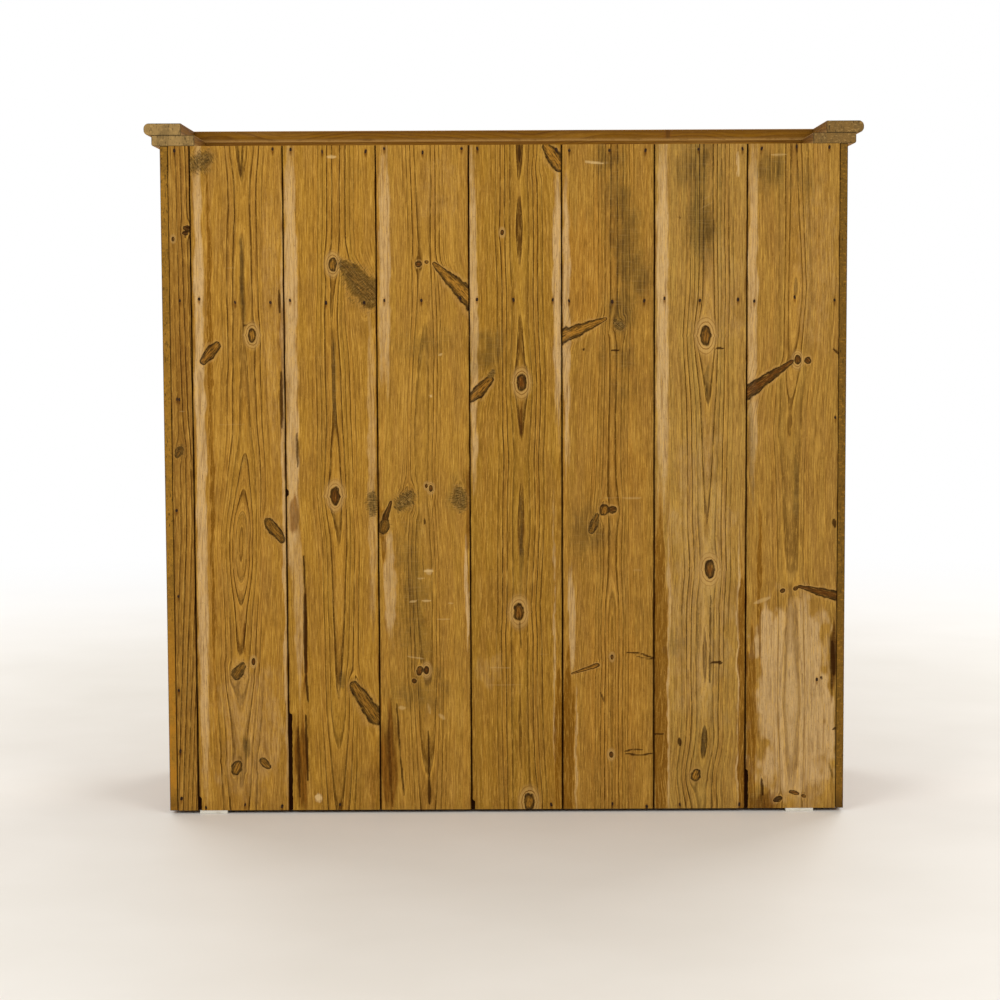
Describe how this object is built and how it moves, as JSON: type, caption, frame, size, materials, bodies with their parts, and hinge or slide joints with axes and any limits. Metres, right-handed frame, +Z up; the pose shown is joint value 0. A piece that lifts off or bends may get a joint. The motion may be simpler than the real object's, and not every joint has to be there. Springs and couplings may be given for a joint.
{
  "type": "step back cupboard",
  "caption": "Pine step back cupboard: two panelled doors under two drawers, a set-back upper cupboard with two doors, matchboard back and flat cornice.",
  "frame": {"origin": "on the floor under the centre of the bounding box", "axes": "+Z up, -Y towards the front with the doors, +Y the matchboard back, +X to the right as seen from the front"},
  "size_m": [1.276, 0.462, 1.24],
  "materials": {
    "back_pine": "old bare pine with knots, dry and stained",
    "waxed_pine": "waxed old pine, satin",
    "inner_pine": "bare pine, matt",
    "turned_pine": "turned and waxed, satin",
    "hinge_iron": "blackened, worn",
    "screw_steel": "dulled slotted head",
    "pad_felt": "pale felt"
  },
  "bodies": {
    "case": {"back_board_1": "back_pine", "back_board_2": "back_pine", "back_board_3": "back_pine", "back_board_4": "back_pine", "back_board_5": "back_pine", "back_board_6": "back_pine", "back_board_7": "back_pine", "back_board_8": "back_pine", "side_left": "waxed_pine", "base_stile_left": "waxed_pine", "upper_stile_left": "waxed_pine", "side_right": "waxed_pine", "base_stile_right": "waxed_pine", "upper_stile_right": "waxed_pine", "counter_board": "waxed_pine", "cornice_lower_front": "waxed_pine", "cornice_lower_returns": "waxed_pine", "cornice_upper_front": "waxed_pine", "cornice_upper_returns": "waxed_pine", "base_bottom_rail": "waxed_pine", "drawer_rail": "waxed_pine", "base_centre_stile": "waxed_pine", "drawer_muntin": "waxed_pine", "upper_centre_stile": "waxed_pine", "upper_head_rail": "waxed_pine", "top_board": "inner_pine", "bottom_board": "inner_pine", "shelf": "inner_pine", "shelf_cleats": "inner_pine", "drawer_runners": "inner_pine", "drawer_stops": "inner_pine", "frame_hinge_leaves": "hinge_iron", "turn_button_screws": "screw_steel", "floor_pads": "pad_felt"},
    "lower_left_door": {"lower_left_door_frame": "waxed_pine", "lower_left_door_panel": "waxed_pine", "lower_left_door_knob": "turned_pine", "lower_left_door_hinge_leaves": "hinge_iron"},
    "upper_left_door": {"upper_left_door_frame": "waxed_pine", "upper_left_door_panel": "waxed_pine", "upper_left_door_knob": "turned_pine", "upper_left_door_hinge_leaves": "hinge_iron"},
    "left_drawer": {"left_drawer_front": "waxed_pine", "left_drawer_sides_and_back": "inner_pine", "left_drawer_bottom": "inner_pine", "left_drawer_knob": "turned_pine"},
    "lower_right_door": {"lower_right_door_frame": "waxed_pine", "lower_right_door_panel": "waxed_pine", "lower_right_door_knob": "turned_pine", "lower_right_door_hinge_leaves": "hinge_iron"},
    "upper_right_door": {"upper_right_door_frame": "waxed_pine", "upper_right_door_panel": "waxed_pine", "upper_right_door_knob": "turned_pine", "upper_right_door_hinge_leaves": "hinge_iron"},
    "right_drawer": {"right_drawer_front": "waxed_pine", "right_drawer_sides_and_back": "inner_pine", "right_drawer_bottom": "inner_pine", "right_drawer_knob": "turned_pine"},
    "lower_turn_button": {"turn_button_lower": "turned_pine"},
    "upper_turn_button": {"turn_button_upper": "turned_pine"}
  },
  "joints": [
    {"name": "lower_left_door_swing", "type": "hinge", "parent": "case", "child": "lower_left_door", "pos_m": [-0.549, -0.2048, 0.403], "axis": [0, 0, -1], "range_deg": [0, 170]},
    {"name": "lower_right_door_swing", "type": "hinge", "parent": "case", "child": "lower_right_door", "pos_m": [0.549, -0.2048, 0.403], "axis": [0, 0, 1], "range_deg": [0, 170]},
    {"name": "upper_left_door_swing", "type": "hinge", "parent": "case", "child": "upper_left_door", "pos_m": [-0.561, 0.0112, 1.048], "axis": [0, 0, -1], "range_deg": [0, 170]},
    {"name": "upper_right_door_swing", "type": "hinge", "parent": "case", "child": "upper_right_door", "pos_m": [0.561, 0.0112, 1.048], "axis": [0, 0, 1], "range_deg": [0, 170]},
    {"name": "left_drawer_slide", "type": "slide", "parent": "case", "child": "left_drawer", "axis": [0, -1, 0], "range_m": [0, 0.3]},
    {"name": "right_drawer_slide", "type": "slide", "parent": "case", "child": "right_drawer", "axis": [0, -1, 0], "range_m": [0, 0.3]},
    {"name": "lower_turn_button_turn", "type": "hinge", "parent": "case", "child": "lower_turn_button", "pos_m": [0, -0.2059, 0.493], "axis": [0, 1, 0], "range_deg": [0, 90]},
    {"name": "upper_turn_button_turn", "type": "hinge", "parent": "case", "child": "upper_turn_button", "pos_m": [0, 0.0101, 1.108], "axis": [0, 1, 0], "range_deg": [0, 90]}
  ]
}
